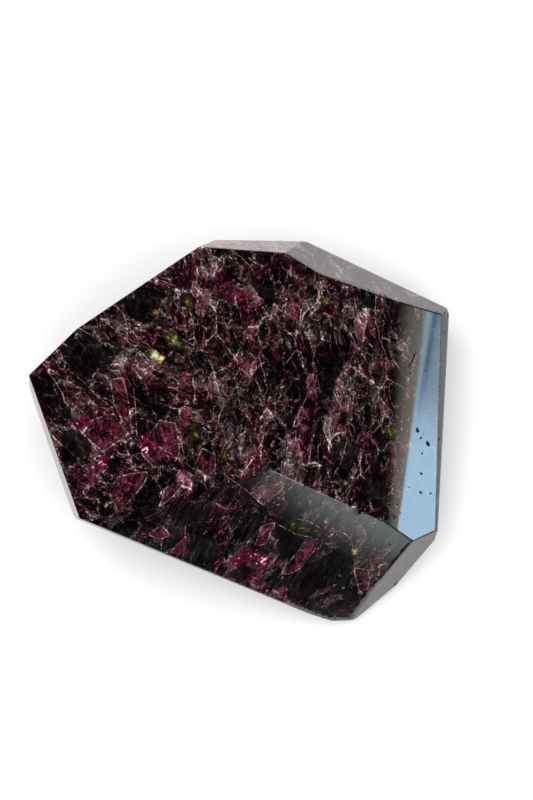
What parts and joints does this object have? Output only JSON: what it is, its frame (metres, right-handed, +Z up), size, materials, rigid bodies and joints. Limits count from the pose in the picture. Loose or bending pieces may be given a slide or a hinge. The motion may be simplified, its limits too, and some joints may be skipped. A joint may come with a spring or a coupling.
{
  "type": "polished garnet freeform",
  "caption": "Hand-ground, polished freeform of dark fractured rhodolite garnet with flat facets and one softly rolled edge, lying flat; a display or study specimen.",
  "frame": {"origin": "centre of the bounding box at the base, on the surface the stone lies on", "axes": "+Z up, out of the table facet; +X along the longest extent, from the left tip to the blue-reflecting right facet; +Y to the back, the long grey bevel"},
  "size_m": [0.0866, 0.0792, 0.03],
  "materials": {
    "polished_garnet": "polished, near-opaque, glassy"
  },
  "bodies": {
    "root": {"garnet": "polished_garnet"}
  },
  "joints": []
}
